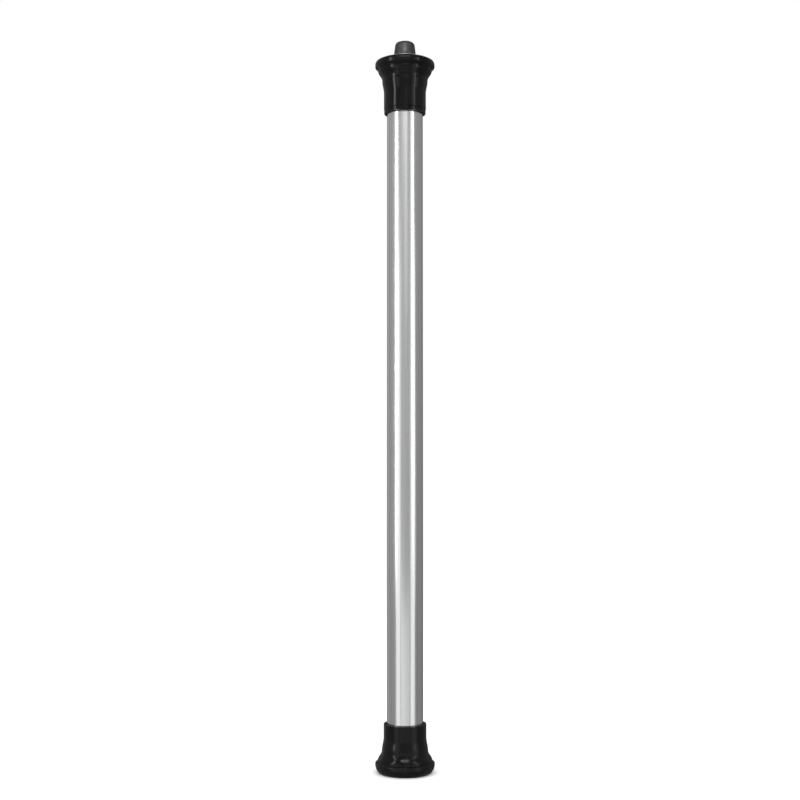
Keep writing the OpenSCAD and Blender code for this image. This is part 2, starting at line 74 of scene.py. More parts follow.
TUBE_R = span("outer_tube")[1].x
TUBE_WALL = 2.5
TUBE_IN = TUBE_R - TUBE_WALL
TUBE_Z0 = span("outer_tube")[0].z
TUBE_Z1 = span("outer_tube")[1].z
FOOT_R = span("foot_ring")[1].x
FOOT_H = span("foot_ring")[1].z
PAD_R = span("foot_pad")[1].x
PAD_T = span("foot_pad")[1].z
LOWER_MOUTH = span("lower_cap")[1].z
UPPER_MOUTH = span("upper_cap")[0].z
CAP_TOP = span("upper_cap")[1].z
LID_R = span("top_lid")[1].x
LID_TOP = span("top_lid")[1].z
POLE_H = span("button_cap")[1].z
BUTTON_R = span("button_cap")[1].x
BUTTON_Z0 = span("button_cap")[0].z
BEZEL_R = BUTTON_R + 1.25

# Both bell caps share one outline: a collar, a waist and a straight sleeve round the tube
COLLAR_R = TUBE_R + 12.5
COLLAR_H = 2
WAIST_R = TUBE_R + 6.9
SLEEVE_R = TUBE_R + 4.4
SLEEVE_IN = TUBE_R + 1.3
SKIRT_IN = 31.4
SKIRT_R = 34
CAP_WALL = 2.6
WAIST_U = 13.5  # distance from a cap's wide end to its waist
SLEEVE_U = 33  # and to where its sleeve starts

SKIRT_Z = 7  # where the lower cap's skirt stands in the foot ring
LUG_TOP = 6.5  # where the lower cap's screw posts stand on the foot ring's lugs
BASE_SCREW_R = 27
CAP_SCREW_R = 15.5
PEG_R = 24  # the lid's pegs for the switch board stand this far out
QUARTERS = [math.radians(a) for a in (45, 135, 225, 315)]
THIRDS = [math.radians(a) for a in (90, 210, 330)]


# ---- outlines -------------------------------------------------------------------------------------------


def eased(u, u0, u1, r0, r1):
    """A smooth step from r0 at u0 to r1 at u1."""
    return r1 + (r0 - r1) * (1 + math.cos(math.pi * (u - u0) / (u1 - u0))) / 2


def flared(t, r0, r1):
    """A flare from r0 to r1 while t goes from 0 to 1, which starts with a slope and ends level."""
    return r1 + (r0 - r1) * (1 - t * (0.5 + t * (2 - 1.5 * t)))


def bell_radius(u):
    """Outside radius of a bell cap at distance u from its wide end."""
    if u < COLLAR_H:
        return COLLAR_R
    if u < WAIST_U:
        return flared((u - COLLAR_H) / (WAIST_U - COLLAR_H), COLLAR_R, WAIST_R)
    if u < SLEEVE_U:
        return eased(u, WAIST_U, SLEEVE_U, WAIST_R, SLEEVE_R)
    return SLEEVE_R


def bell_inside(u):
    """Inside radius of a bell cap at distance u from its wide end."""
    return min(bell_radius(u) - CAP_WALL, SKIRT_IN)


def steps(start, end, count):
    """Evenly spaced numbers from start to end, both included."""
    return [start + (end - start) * i / count for i in range(count + 1)]


def ellipse(centre, radii, start, end, count=16):
    """Points along part of an ellipse, from one angle to another in degrees."""
    angles = [math.radians(a) for a in steps(start, end, count)]
    return [(centre[0] + radii[0] * math.cos(a), centre[1] + radii[1] * math.sin(a)) for a in angles]


def filleted(corners, count=5):
    """The closed outline through corners. One given as (r, z, fillet) is rounded off that far each way."""
    points = []
    for i, corner in enumerate(corners):
        here = Vector(corner[:2])
        if len(corner) < 3:
            points.append(here)
            continue
        before = Vector(corners[i - 1][:2]) - here
        after = Vector(corners[(i + 1) % len(corners)][:2]) - here
        start = here + before.normalized() * min(corner[2], before.length / 2)
        end = here + after.normalized() * min(corner[2], after.length / 2)
        for t in steps(0, 1, count):
            points.append(start * (1 - t) ** 2 + here * 2 * t * (1 - t) + end * t**2)
    return [(p[0], p[1]) for p in points]


# ---- mesh helpers ---------------------------------------------------------------------------------------


def new_piece(name, mesh_builder):
    """A smooth-shaded object from a bmesh in millimetres, with its sharp corners kept."""
    mesh_builder.transform(Matrix.Scale(MM, 4))
    bmesh.ops.recalc_face_normals(mesh_builder, faces=mesh_builder.faces)
    mesh = bpy.data.meshes.new(name)
    mesh_builder.to_mesh(mesh)
    mesh_builder.free()
    smooth(mesh)
    piece = bpy.data.objects.new(name, mesh)
    bpy.context.scene.collection.objects.link(piece)
    return piece


def smooth(mesh):
    """Smooth shading everywhere but over edges sharper than 32 degrees."""
    mesh.polygons.foreach_set("use_smooth", [True] * len(mesh.polygons))
    mesh.set_sharp_from_angle(angle=math.radians(32))


def lathe(name, outline, segments=SEGMENTS):
    """A solid of revolution about the pole's axis, from its closed outline of (r, z) points."""
    built = bmesh.new()
    rings = []
    for i in range(segments):
        a = 2 * math.pi * i / segments
        rings.append([built.verts.new((r * math.cos(a), r * math.sin(a), z)) for r, z in outline])
    for i in range(segments):
        here, following = rings[i], rings[(i + 1) % segments]
        for j in range(len(outline)):
            k = (j + 1) % len(outline)
            if outline[j][0] > 0 or outline[k][0] > 0:
                built.faces.new((here[j], here[k], following[k], following[j]))
    on_axis = [v for v in built.verts if v.co.xy.length < 1e-6]
    bmesh.ops.remove_doubles(built, verts=on_axis, dist=1e-5)
    loose = [v for v in built.verts if not v.link_faces]
    bmesh.ops.delete(built, geom=loose, context="VERTS")
    return new_piece(name, built)


def rods(places, axis="Z"):
    """One object of closed rods along Z, each given as (x, y, radius, start, end).

    With axis "Y" they lie along Y, and the second number is their height instead.
    """
    built = bmesh.new()
    for x, y, radius, start, end in places:
        turn = Matrix.Identity(4) if axis == "Z" else Matrix.Rotation(math.radians(-90), 4, "X")
        middle = Vector((x, y, (start + end) / 2)) if axis == "Z" else Vector((x, (start + end) / 2, y))
        bmesh.ops.create_cone(
            built,
            cap_ends=True,
            segments=64,
            radius1=radius,
            radius2=radius,
            depth=end - start,
            matrix=Matrix.Translation(middle) @ turn,
        )
    return new_piece("rods", built)


def block(low, high):
    """A closed box between two corners."""
    built = bmesh.new()
    centre = (Vector(low) + Vector(high)) / 2
    size = Vector(high) - Vector(low)
    bmesh.ops.create_cube(built, matrix=Matrix.Translation(centre) @ Matrix.Diagonal((*size, 1)))
    return new_piece("block", built)


def combine(piece, operation, tool):
    """Joins the tool to the piece, or cuts it out, and keeps only the result."""
    modifier = piece.modifiers.new(operation, "BOOLEAN")
    modifier.operation = operation
    modifier.solver = "EXACT"
    modifier.object = tool
    depsgraph = bpy.context.evaluated_depsgraph_get()
    mesh = bpy.data.meshes.new_from_object(piece.evaluated_get(depsgraph))
    mesh.name = piece.name
    piece.modifiers.clear()
    piece.data = mesh
    bpy.data.objects.remove(tool)
    smooth(mesh)


def polar(radius, angles):
    """The (x, y) points at a radius and each angle."""
    return [(radius * math.cos(a), radius * math.sin(a)) for a in angles]


# ---- material helpers -----------------------------------------------------------------------------------


class Finish:
    """A procedural material: one Principled shader, and the nodes that vary it over the surface."""

    def __init__(self, material_name, **constants):
        self.material = bpy.data.materials.new(material_name)
        self.material.use_nodes = True
        self.tree = self.material.node_tree
        self.shader = self.tree.nodes["Principled BSDF"]
        sockets = {s.name.lower().replace(" ", "_"): s for s in self.shader.inputs}
        for name, value in constants.items():
            sockets[name].default_value = value
        self.where = self.tree.nodes.new("ShaderNodeTexCoord").outputs["Object"]

    def node(self, kind, settings=(), **inputs):
        """A new node, with its settings, and a value or a link for each named input.

        The names i0, i1 and so on stand for an input's number.
        """
        made = self.tree.nodes.new("ShaderNode" + kind)
        for name, value in dict(settings).items():
            setattr(made, name, value)
        for name, value in inputs.items():
            socket = made.inputs[int(name[1:]) if name[0] == "i" and name[1:].isdigit() else name]
            if isinstance(value, bpy.types.NodeSocket):
                self.tree.links.new(value, socket)
            else:
                socket.default_value = value
        return made

    def stretched(self, x, y, z):
        """Object coordinates multiplied along each axis, for a noise with that many features per metre."""
        return self.node("Mapping", Vector=self.where, Scale=(x, y, z)).outputs["Vector"]

    def noise(self, x, y=None, z=None, detail=3.0):
        """Noise from 0 to 1 with so many features per metre along each axis."""
        where = self.stretched(x, x if y is None else y, x if z is None else z)
        return self.node("TexNoise", Vector=where, Scale=1.0, Detail=detail).outputs["Fac"]

    def between(self, amount, low, high, start=0.3, end=0.7):
        """low where the amount is at start, high where it is at end."""
        made = self.node("MapRange", Value=amount)
        made.inputs["From Min"].default_value = start
        made.inputs["From Max"].default_value = end
        made.inputs["To Min"].default_value = low
        made.inputs["To Max"].default_value = high
        return made.outputs["Result"]

    def calculated(self, operation, a, b):
        """A Math node's result from two numbers or links."""
        return self.node("Math", {"operation": operation}, i0=a, i1=b).outputs[0]

    def blend(self, amount, a, b):
        """A colour between two colours, each an (r, g, b) or a link."""
        colours = [c if isinstance(c, bpy.types.NodeSocket) else (*c, 1) for c in (a, b)]
        made = self.node("Mix", {"data_type": "RGBA"}, i0=amount, i6=colours[0], i7=colours[1])
        return made.outputs[2]

    def colour(self, link):
        """Links the surface's colour."""
        self.tree.links.new(link, self.shader.inputs["Base Color"])
        return self

    def roughness(self, link):
        """Links the surface's roughness."""
        self.tree.links.new(link, self.shader.inputs["Roughness"])
        return self

    def relief(self, height, depth_mm, strength=1.0):
        """Bumps of that depth where the height goes from 0 to 1."""
        bump = self.node("Bump", Height=height, Strength=strength, Distance=depth_mm * MM)
        self.tree.links.new(bump.outputs["Normal"], self.shader.inputs["Normal"])
        return self


# ---- finishes, one function each ------------------------------------------------------------------------


def silvered_tube():
    """Polished silver with fine drawing lines along its length and slightly cloudy patches."""
    made = Finish("silvered_tube", metallic=1.0)
    lines = made.noise(900, 900, 3, detail=4)
    streaks = made.noise(260, 260, 1.2, detail=2)
    clouds = made.noise(14, 14, 7)
    tone = made.blend(made.between(streaks, 0, 1), (0.82, 0.825, 0.83), (0.92, 0.922, 0.925))
    made.colour(made.blend(made.between(lines, 0, 0.5), tone, (0.76, 0.765, 0.77)))
    hazier = made.between(clouds, -0.02, 0.03)
    made.roughness(made.calculated("ADD", made.between(lines, 0.17, 0.27), hazier))
    return made.relief(lines, 0.006).material


def black_gloss():
    """Moulded gloss black, with a faint orange peel and the odd dull smear from handling."""
    made = Finish("black_gloss", specular_ior_level=0.22)
    peel = made.noise(420, detail=1)
    smears = made.noise(45, 45, 18, detail=5)
    made.colour(made.blend(made.between(smears, 0, 1), (0.002, 0.002, 0.0023), (0.0045, 0.0045, 0.005)))
    made.roughness(made.between(smears, 0.13, 0.24, 0.35, 0.75))
    return made.relief(peel, 0.012, 0.6).material


def black_cast():
    """Gloss enamel over a cast ring, a little wavier than the moulded caps and dulled low down."""
    made = Finish("black_cast", specular_ior_level=0.22)
    waves = made.noise(160, detail=3)
    grains = made.noise(1100, detail=2)
    height = made.node("SeparateXYZ", Vector=made.where).outputs["Z"]
    low_down = made.between(height, 1, 0, 0.0, 0.008)
    made.colour(made.blend(made.between(waves, 0, 1), (0.0025, 0.0025, 0.0028), (0.0055, 0.0055, 0.006)))
    dulled = made.between(low_down, 0, 0.15, 0, 1)
    made.roughness(made.calculated("ADD", made.between(waves, 0.2, 0.32), dulled))
    relief = made.calculated("ADD", waves, made.calculated("MULTIPLY", grains, 0.15))
    return made.relief(relief, 0.03, 0.7).material


def black_rubber():
    """Matt rubber with a fine grain and a dusty bloom."""
    made = Finish("black_rubber", specular_ior_level=0.35)
    grains = made.noise(1800, detail=2)
    bloom = made.noise(60, detail=5)
    made.colour(made.blend(made.between(bloom, 0, 1), (0.016, 0.016, 0.016), (0.045, 0.044, 0.042)))
    made.roughness(made.between(grains, 0.7, 0.9))
    return made.relief(grains, 0.04).material


def button_rubber():
    """Soft-touch dark grey rubber, with patches of wear that differ a little in tone and gloss."""
    made = Finish("button_rubber", specular_ior_level=0.9)
    grains = made.noise(1500, detail=2)
    wear = made.noise(120, detail=4)
    made.colour(made.blend(made.between(wear, 0, 1), (0.006, 0.006, 0.0065), (0.012, 0.012, 0.0125)))
    made.roughness(made.between(wear, 0.32, 0.46))
    return made.relief(grains, 0.02, 0.7).material


def turned_metal(name, dark, light, rough_low, rough_high, depth_mm=0.008):
    """Metal with fine rings from the lathe and small stains."""
    made = Finish(name, metallic=1.0)
    rings = made.noise(12, 12, 5200, detail=2)
    stains = made.noise(150, detail=5)
    made.colour(made.blend(made.between(stains, 0, 1), dark, light))
    made.roughness(made.between(rings, rough_low, rough_high))
    return made.relief(rings, depth_mm).material


def drawn_metal(name, dark, light, rough_low, rough_high):
    """Extruded or drawn metal with die lines along Z."""
    made = Finish(name, metallic=1.0)
    lines = made.noise(1500, 1500, 6, detail=3)
    clouds = made.noise(90, detail=4)
    made.colour(made.blend(made.between(clouds, 0, 1), dark, light))
    made.roughness(made.between(lines, rough_low, rough_high))
    return made.relief(lines, 0.01).material


def zinc_steel():
    """Zinc plate: bluish spangles that differ in tone and gloss."""
    made = Finish("zinc_steel", metallic=1.0)
    cells = made.node("TexVoronoi", Vector=made.stretched(700, 700, 700), Scale=1.0)
    spangle = made.node("SeparateColor", Color=cells.outputs["Color"]).outputs[0]
    made.colour(made.blend(spangle, (0.5, 0.51, 0.53), (0.68, 0.69, 0.71)))
    made.roughness(made.between(spangle, 0.28, 0.48, 0, 1))
    return made.relief(cells.outputs["Distance"], 0.01, 0.5).material


def moulded_plastic(name, dark, light, rough_low=0.45, rough_high=0.6):
    """Matt moulded plastic with a spark-eroded grain."""
    made = Finish(name, specular_ior_level=0.45)
    grains = made.noise(1300, detail=3)
    flow = made.noise(70, 70, 30, detail=4)
    made.colour(made.blend(made.between(flow, 0, 1), dark, light))
    made.roughness(made.between(grains, rough_low, rough_high))
    return made.relief(grains, 0.025, 0.8).material


def drum_white():
    """Opal acrylic that glows a little at its edges."""
    made = Finish("drum_white", subsurface_weight=0.3, subsurface_scale=0.004)
    flow = made.noise(40, 40, 8, detail=4)
    made.colour(made.blend(made.between(flow, 0, 1), (0.82, 0.82, 0.79), (0.9, 0.9, 0.88)))
    made.roughness(made.between(flow, 0.2, 0.32))
    return made.relief(made.noise(500, detail=1), 0.01, 0.5).material


def stripe_print():
    """Red, white and blue stripes that wind round the drum, printed with a slightly grainy ink."""
    pitch_m = 0.16
    made = Finish("stripe_print", coat_weight=0.4, coat_roughness=0.1)
    axes = made.node("SeparateXYZ", Vector=made.where)
    angle = made.calculated("ARCTAN2", axes.outputs["Y"], axes.outputs["X"])
    turns = made.calculated("MULTIPLY", angle, 1 / (2 * math.pi))
    phase = made.calculated("ADD", turns, made.calculated("MULTIPLY", axes.outputs["Z"], 1 / pitch_m))
    stripes = made.node("ValToRGB", Fac=made.calculated("FRACT", phase, 0))
    ramp = stripes.color_ramp
    ramp.interpolation = "CONSTANT"
    white = (0.86, 0.86, 0.83, 1)
    red = (0.62, 0.02, 0.03, 1)
    blue = (0.03, 0.07, 0.36, 1)
    colours = [(0.0, white), (0.25, red), (0.5, white), (0.75, blue)]
    ramp.elements.remove(ramp.elements[1])
    ramp.elements[0].color = colours[0][1]
    for place, colour in colours[1:]:
        ramp.elements.new(place).color = colour
    ink = made.noise(2200, detail=2)
    thin_ink = made.between(ink, 0, 0.18, 0.4, 0.8)
    made.colour(made.blend(thin_ink, stripes.outputs["Color"], (0.9, 0.9, 0.88)))
    made.roughness(made.between(ink, 0.22, 0.36))
    return made.relief(ink, 0.004).material


def circuit_board():
    """Green solder mask over raised copper tracks."""
    made = Finish("circuit_board", coat_weight=0.3, coat_roughness=0.15)
    cells = made.node(
        "TexVoronoi",
        {"feature": "DISTANCE_TO_EDGE"},
        Vector=made.stretched(260, 260, 260),
        Scale=1.0,
        Randomness=0.35,
    )
    tracks = made.between(cells.outputs["Distance"], 1, 0, 0.05, 0.09)
    made.colour(made.blend(tracks, (0.006, 0.07, 0.025), (0.03, 0.19, 0.07)))
    made.roughness(made.between(made.noise(900, detail=3), 0.28, 0.42))
    return made.relief(tracks, 0.035).material


def led():
    """Yellow phosphor under clear resin, a little uneven."""
    made = Finish("led", coat_weight=0.8, coat_roughness=0.05)
    grains = made.noise(2600, detail=3)
    made.colour(made.blend(made.between(grains, 0, 1), (0.85, 0.66, 0.16), (0.95, 0.83, 0.35)))
    made.roughness(made.between(grains, 0.3, 0.5))
    return made.relief(grains, 0.02).material


def lead_wire():
    """Red or black insulation, one colour to a wire, with a soft gloss."""
    made = Finish("lead_wire", specular_ior_level=0.5)
    which = made.node("NewGeometry").outputs["Random Per Island"]
    grains = made.noise(1600, detail=2)
    red, black = (0.45, 0.015, 0.012), (0.015, 0.015, 0.016)
    picked = made.blend(made.calculated("GREATER_THAN", which, 0.5), red, black)
    made.colour(made.blend(made.between(grains, 0, 0.15), picked, (0.2, 0.19, 0.18)))
    made.roughness(made.between(grains, 0.35, 0.5))
    return made.relief(grains, 0.015).material


FINISHES = {
    "black_gloss": black_gloss(),
    "black_cast": black_cast(),
    "black_rubber": black_rubber(),
    "button_rubber": button_rubber(),
    "satin_steel": turned_metal("satin_steel", (0.46, 0.46, 0.47), (0.56, 0.56, 0.57), 0.24, 0.38),
    "silvered_tube": silvered_tube(),
    "zinc_steel": zinc_steel(),
    "bearing_steel": turned_metal(
        "bearing_steel", (0.68, 0.69, 0.7), (0.78, 0.78, 0.79), 0.08, 0.18, depth_mm=0.003
    ),
    "motor_steel": drawn_metal("motor_steel", (0.6, 0.61, 0.62), (0.72, 0.73, 0.74), 0.22, 0.36),
    "brass": turned_metal("brass", (0.62, 0.42, 0.16), (0.8, 0.6, 0.28), 0.2, 0.36),
    "aluminium": drawn_metal("aluminium", (0.7, 0.71, 0.72), (0.8, 0.81, 0.82), 0.3, 0.44),
    "stud_steel": turned_metal("stud_steel", (0.5, 0.51, 0.52), (0.62, 0.63, 0.64), 0.26, 0.42),
    "white_plastic": moulded_plastic("white_plastic", (0.76, 0.76, 0.73), (0.85, 0.85, 0.83)),
    "drum_white": drum_white(),
    "stripe_print": stripe_print(),
    "dark_plastic": moulded_plastic("dark_plastic", (0.025, 0.025, 0.027), (0.05, 0.05, 0.054)),
    "circuit_board": circuit_board(),
    "strip_white": moulded_plastic("strip_white", (0.8, 0.8, 0.77), (0.88, 0.88, 0.86), 0.3, 0.42),
    "led": led(),
    "cable_grey": moulded_plastic("cable_grey", (0.2, 0.2, 0.21), (0.27, 0.27, 0.28), 0.4, 0.55),
    "lead_wire": lead_wire(),
}

slot_of = {part["node"]: part["material_slot"] for part in frame["record"]["subparts"]}
for name, cad_object in frame["nodes"].items():
    cad_object.data.materials.clear()
    cad_object.data.materials.append(FINISHES[slot_of[name]])


# ---- visible pieces -------------------------------------------------------------------------------------


def stands_for(piece, node):
    """Hides the piece's CAD node and gives the piece that node's finish."""
    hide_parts(node)
    piece.data.materials.clear()
    piece.data.materials.append(FINISHES[slot_of[node]])


def foot_pad():
    """Rubber disc with six round grip grooves underneath."""
    groove = 0.6
    underside = []
    for r in range(10, 31, 4):
        underside += [(r - 0.8, 0, 0.2), (r - 0.4, groove, 0.1), (r + 0.4, groove, 0.1), (r + 0.8, 0, 0.2)]
    corners = [(0, PAD_T), (0, 0), *underside, (PAD_R, 0, 0.5), (PAD_R, PAD_T)]
    piece = lathe("rubber_foot_pad", filleted(corners, 3))
    screw_heads = [(x, y, 3.0, PAD_T - 0.1, PAD_T + 1) for x, y in polar(BASE_SCREW_R, QUARTERS)]
    combine(piece, "DIFFERENCE", rods(screw_heads))
    return piece


def foot_ring():
    """Cast ring with a rounded shoulder and short neck, four screw lugs, and the plug's recess behind."""
    inlet_z = span("power_inlet")[0].z + 4.5
    plug_y = span("power_inlet")[1].y
    plate_top = span("base_plate")[1].z
    seat_r = PAD_R + 0.1
    belly_h = 12.2
    belly = ellipse((PAD_R, belly_h), (FOOT_R - PAD_R, belly_h), -72, 0, 24)
    shoulder = ellipse((COLLAR_R, FOOT_H - 5.3), (FOOT_R - COLLAR_R, 2.6), 0, 90, 24)
    neck = (COLLAR_R, FOOT_H, 0.6)
    inside = [(SKIRT_R, FOOT_H), (SKIRT_R, SKIRT_Z), (SKIRT_IN, SKIRT_Z), (SKIRT_IN, plate_top)]
    corners = [(seat_r, 0.6), *belly, *shoulder, neck, *inside, (seat_r, plate_top)]
    piece = lathe("foot_ring_cast", filleted(corners))
    places = polar(BASE_SCREW_R, QUARTERS)
    combine(piece, "UNION", rods([(x, y, 5.2, plate_top, LUG_TOP) for x, y in places]))
    combine(piece, "DIFFERENCE", rods([(x, y, 1.6, 0, 8) for x, y in places]))
    combine(piece, "DIFFERENCE", block((-7, 28, 4), (7, 34.3, 20)))
    bores = [(4, 30, plug_y), (4.6, plug_y - 1, plug_y + 1), (5, plug_y, FOOT_R + 5)]
    for radius, start, end in bores:
        combine(piece, "DIFFERENCE", rods([(0, inlet_z, radius, start, end)], "Y"))
    return piece


def lower_cap():
    """Bell that stands in the foot ring and holds the tube's lower end."""
    wide_end = FOOT_H - COLLAR_H
    seat_u = 25  # where the inside reaches the tube's seat
    outside = [(bell_radius(u), wide_end + u) for u in steps(COLLAR_H + 0.4, SLEEVE_U, 96)]
    inside = [(bell_inside(u), wide_end + u) for u in steps(seat_u, 3, 44)]
    seat_z = TUBE_Z0 - 2.5
    corners = [
        (SKIRT_IN, SKIRT_Z),
        (SKIRT_R, SKIRT_Z),
        (SKIRT_R, FOOT_H),
        (COLLAR_R - 0.1, FOOT_H, 0.4),
        *outside,
        (SLEEVE_R, LOWER_MOUTH, 1.0),
        (SLEEVE_IN, LOWER_MOUTH, 0.5),
        (SLEEVE_IN, TUBE_Z0),
        (TUBE_IN, TUBE_Z0, 0.2),
        (TUBE_IN, seat_z, 0.2),
        (bell_inside(seat_u), seat_z),
        *inside,
    ]
    piece = lathe("lower_bell_cap", filleted(corners))
    places = polar(BASE_SCREW_R, QUARTERS)
    combine(piece, "UNION", rods([(x, y, 3.4, LUG_TOP, 20) for x, y in places]))
    combine(piece, "DIFFERENCE", rods([(x, y, 1.5, 0, 15) for x, y in places]))
    combine(piece, "DIFFERENCE", block((-7.2, 25, 6), (7.2, 37, FOOT_H)))
    return piece


def outer_tube():
    """Silvered cylinder with its two ends ground to a small radius."""
    corners = [
        (TUBE_IN, TUBE_Z0, 0.4),
        (TUBE_R, TUBE_Z0, 0.6),
        (TUBE_R, TUBE_Z1, 0.6),
        (TUBE_IN, TUBE_Z1, 0.4),
    ]
    return lathe("silvered_tube", filleted(corners), segments=360)


def upper_cap():
    """Bell turned upside down over the tube's top, with a thin lip and a groove at its mouth."""
    web_z0 = TUBE_Z1 + 4
    web_z1 = web_z0 + 3
    web_hole_r = 10
    lip = 5.5
    outside = [(bell_radius(u), CAP_TOP - u) for u in steps(SLEEVE_U, COLLAR_H, 96)]
    inside = [(bell_inside(u), CAP_TOP - u) for u in steps(6, CAP_TOP - web_z1 - 1, 44)]
    corners = [
        (SLEEVE_IN, UPPER_MOUTH, 0.5),
        (SLEEVE_R - 0.4, UPPER_MOUTH, 0.7),
        (SLEEVE_R - 0.4, UPPER_MOUTH + lip - 0.6, 0.2),
        (SLEEVE_R - 0.9, UPPER_MOUTH + lip, 0.2),
        (SLEEVE_R, UPPER_MOUTH + lip + 0.6, 0.3),
        *outside,
        (COLLAR_R, CAP_TOP, 0.5),
        (SKIRT_R + 0.3, CAP_TOP, 0.2),
        (SKIRT_R + 0.3, CAP_TOP - 5.5),
        *inside,
        (SLEEVE_R - CAP_WALL, web_z1),
        (web_hole_r, web_z1),
        (web_hole_r, web_z0),
        (SLEEVE_IN, web_z0),
    ]
    piece = lathe("upper_bell_cap", filleted(corners))
    screw_holes = [(x, y, 1.6, web_z0 - 1, web_z1 + 1) for x, y in polar(CAP_SCREW_R, THIRDS)]
    combine(piece, "DIFFERENCE", rods(screw_holes))
    return piece


def top_lid():
    """Low dome with a rounded rim, pegs for the switch board, and the bezel's hole."""
    rim_z = LID_TOP - 6.4
    corners = [
        (SKIRT_R - 2, CAP_TOP - 5, 0.3),
        (SKIRT_R + 0.2, CAP_TOP - 5, 0.3),
        (SKIRT_R + 0.2, CAP_TOP),
        (COLLAR_R + 0.4, CAP_TOP, 0.2),
        (COLLAR_R + 0.4, CAP_TOP + 0.5, 0.2),
        (LID_R - 0.9, CAP_TOP + 3.3, 0.6),
        (LID_R, CAP_TOP + 4.1, 0.6),
        *ellipse((LID_R - 6.5, rim_z), (6.5, 5.8), 0, 90, 32),
        (BEZEL_R + 8, LID_TOP - 0.2, 4),
        (BEZEL_R + 0.1, LID_TOP, 0.4),
        (BEZEL_R + 0.1, LID_TOP - 2.6),
        (SKIRT_R - 1, LID_TOP - 2.6, 1),
        (LID_R - 3, rim_z, 2),
        (LID_R - 3, CAP_TOP + 5, 1),
        (SKIRT_R - 2, CAP_TOP + 1, 1),
    ]
    piece = lathe("domed_top_lid", filleted(corners))
    board_top = span("switch_board")[1].z
    pegs = [(x, y, 3, board_top, LID_TOP - 1.6) for x, y in polar(PEG_R, THIRDS)]
    combine(piece, "UNION", rods(pegs))
    screw_holes = [(x, y, 1, board_top - 1, board_top + 5) for x, y in polar(PEG_R, THIRDS)]
    combine(piece, "DIFFERENCE", rods(screw_holes))
    return piece


def button_bezel():
    """Thin turned sleeve round the button, with the flange that holds it under the lid."""
    stop_z = BUTTON_Z0 + 0.1
    top_z = span("button_bezel")[1].z
    flange_z0 = LID_TOP - 4.4
    flange_z1 = LID_TOP - 2.7
    corners = [
        (BUTTON_R + 0.4, stop_z),
        (BUTTON_R + 2, stop_z, 0.2),
        (BUTTON_R + 2, flange_z0),
        (BEZEL_R + 3, flange_z0, 0.2),
        (BEZEL_R + 3, flange_z1, 0.2),
        (BEZEL_R, flange_z1),
        (BEZEL_R, top_z, 0.5),
        (BUTTON_R + 0.4, top_z, 0.25),
    ]
    return lathe("button_bezel_ring", filleted(corners))


def button_cap():
    """Hollow rubber cap with round shoulders and a flat crown."""
    shoulder_z = LID_TOP + 9
    crown_r = 6
    crown_z = POLE_H - crown_r
    corners = [
        (BUTTON_R - 2, BUTTON_Z0),
        (BUTTON_R, BUTTON_Z0, 0.2),
        (BUTTON_R, shoulder_z, 1.5),
        *ellipse((BUTTON_R - 1.5 - crown_r, crown_z), (crown_r, crown_r), 0, 90, 24),
        (0, POLE_H),
        (0, POLE_H - 3.5),
        (8, POLE_H - 4.5, 2),
        (BUTTON_R - 4, crown_z - 2, 2),
        (BUTTON_R - 2, shoulder_z - 1, 1),
    ]
    return lathe("rubber_button_cap", filleted(corners))


def button_spring():
    """Compression spring of round wire, from the switch board up to the button's core."""
    low, high = span("button_spring")
    wire_r = 0.5
    turns = 5
    sides = 16  # round the wire
    rings = turns * 48  # along it
    rise = high.z - low.z - 2 * wire_r
    built = bmesh.new()
    loops = []
    for i in range(rings + 1):
        along = 2 * math.pi * turns * i / rings
        z = low.z + wire_r + rise * i / rings
        loop = []
        for j in range(sides):
            around = 2 * math.pi * j / sides
            r = high.x - wire_r + wire_r * math.cos(around)
            place = (r * math.cos(along), r * math.sin(along), z + wire_r * math.sin(around))
            loop.append(built.verts.new(place))
        loops.append(loop)
    for below, above in zip(loops, loops[1:]):
        for j in range(sides):
            k = (j + 1) % sides
            built.faces.new((below[j], below[k], above[k], above[j]))
    built.faces.new(loops[0])
    built.faces.new(loops[-1])
    return new_piece("steel_button_spring", built)


for build, body in (
    (foot_pad, "pole"),
    (foot_ring, "pole"),
    (lower_cap, "pole"),
    (outer_tube, "pole"),
    (upper_cap, "pole"),
    (top_lid, "pole"),
    (button_bezel, "pole"),
    (button_cap, "button"),
):
    part = build()
    stands_for(part, build.__name__)
    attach(part, body)

# The spring stays where it is built, in its baked place, and belongs to no body
spring = button_spring()
stands_for(spring, "button_spring")
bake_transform(spring)


# ---- studio ---------------------------------------------------------------------------------------------

SKY = 1.13  # radiance of the pale surroundings that light the studio
SKY_SEEN = 1.0  # and as the camera sees them, matched to the far floor


def studio_floor():
    """Pale floor, wide enough to reach the horizon. Reflections don't show it."""
    reach_m = 30
    built = bmesh.new()
    bmesh.ops.create_grid(built, x_segments=8, y_segments=8, size=reach_m / MM)
    floor = new_piece("studio_floor", built)
    paint = Finish("pale_floor", specular_ior_level=0.0)
    clouds = paint.noise(3, detail=2)
    paint.colour(paint.blend(paint.between(clouds, 0, 1), (0.88, 0.88, 0.88), (0.9, 0.9, 0.9)))
    paint.roughness(paint.between(clouds, 0.7, 0.8))
    floor.data.materials.append(paint.material)
    floor.visible_glossy = False


